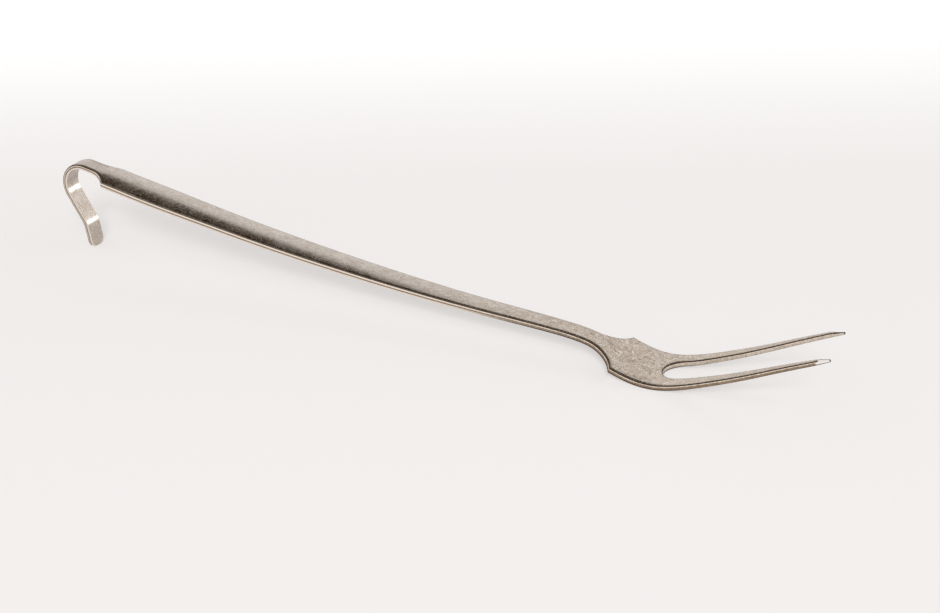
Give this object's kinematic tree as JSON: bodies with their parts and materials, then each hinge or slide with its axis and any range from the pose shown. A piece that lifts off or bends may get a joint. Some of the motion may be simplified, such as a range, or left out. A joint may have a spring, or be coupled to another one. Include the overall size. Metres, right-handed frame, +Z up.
{
  "type": "serving fork",
  "caption": "Long-handled kitchen serving fork with tapering tines, an arched sheet-metal handle and a bent end hook for hanging on a rail.",
  "frame": {"origin": "centre of the bounding box in plan, on the table plane that the hook's end and the heel of the head rest on", "axes": "+X along the fork from the hook to the tine tips, +Y to the fork's left, +Z up out of the table"},
  "size_m": [0.33, 0.0258, 0.0383],
  "materials": {
    "satin_steel": "worn satin stainless sheet, fine random scratches"
  },
  "bodies": {
    "root": {"hanging_hook": "satin_steel", "handle": "satin_steel", "neck": "satin_steel", "head": "satin_steel", "left_tine": "satin_steel", "right_tine": "satin_steel"}
  },
  "joints": []
}
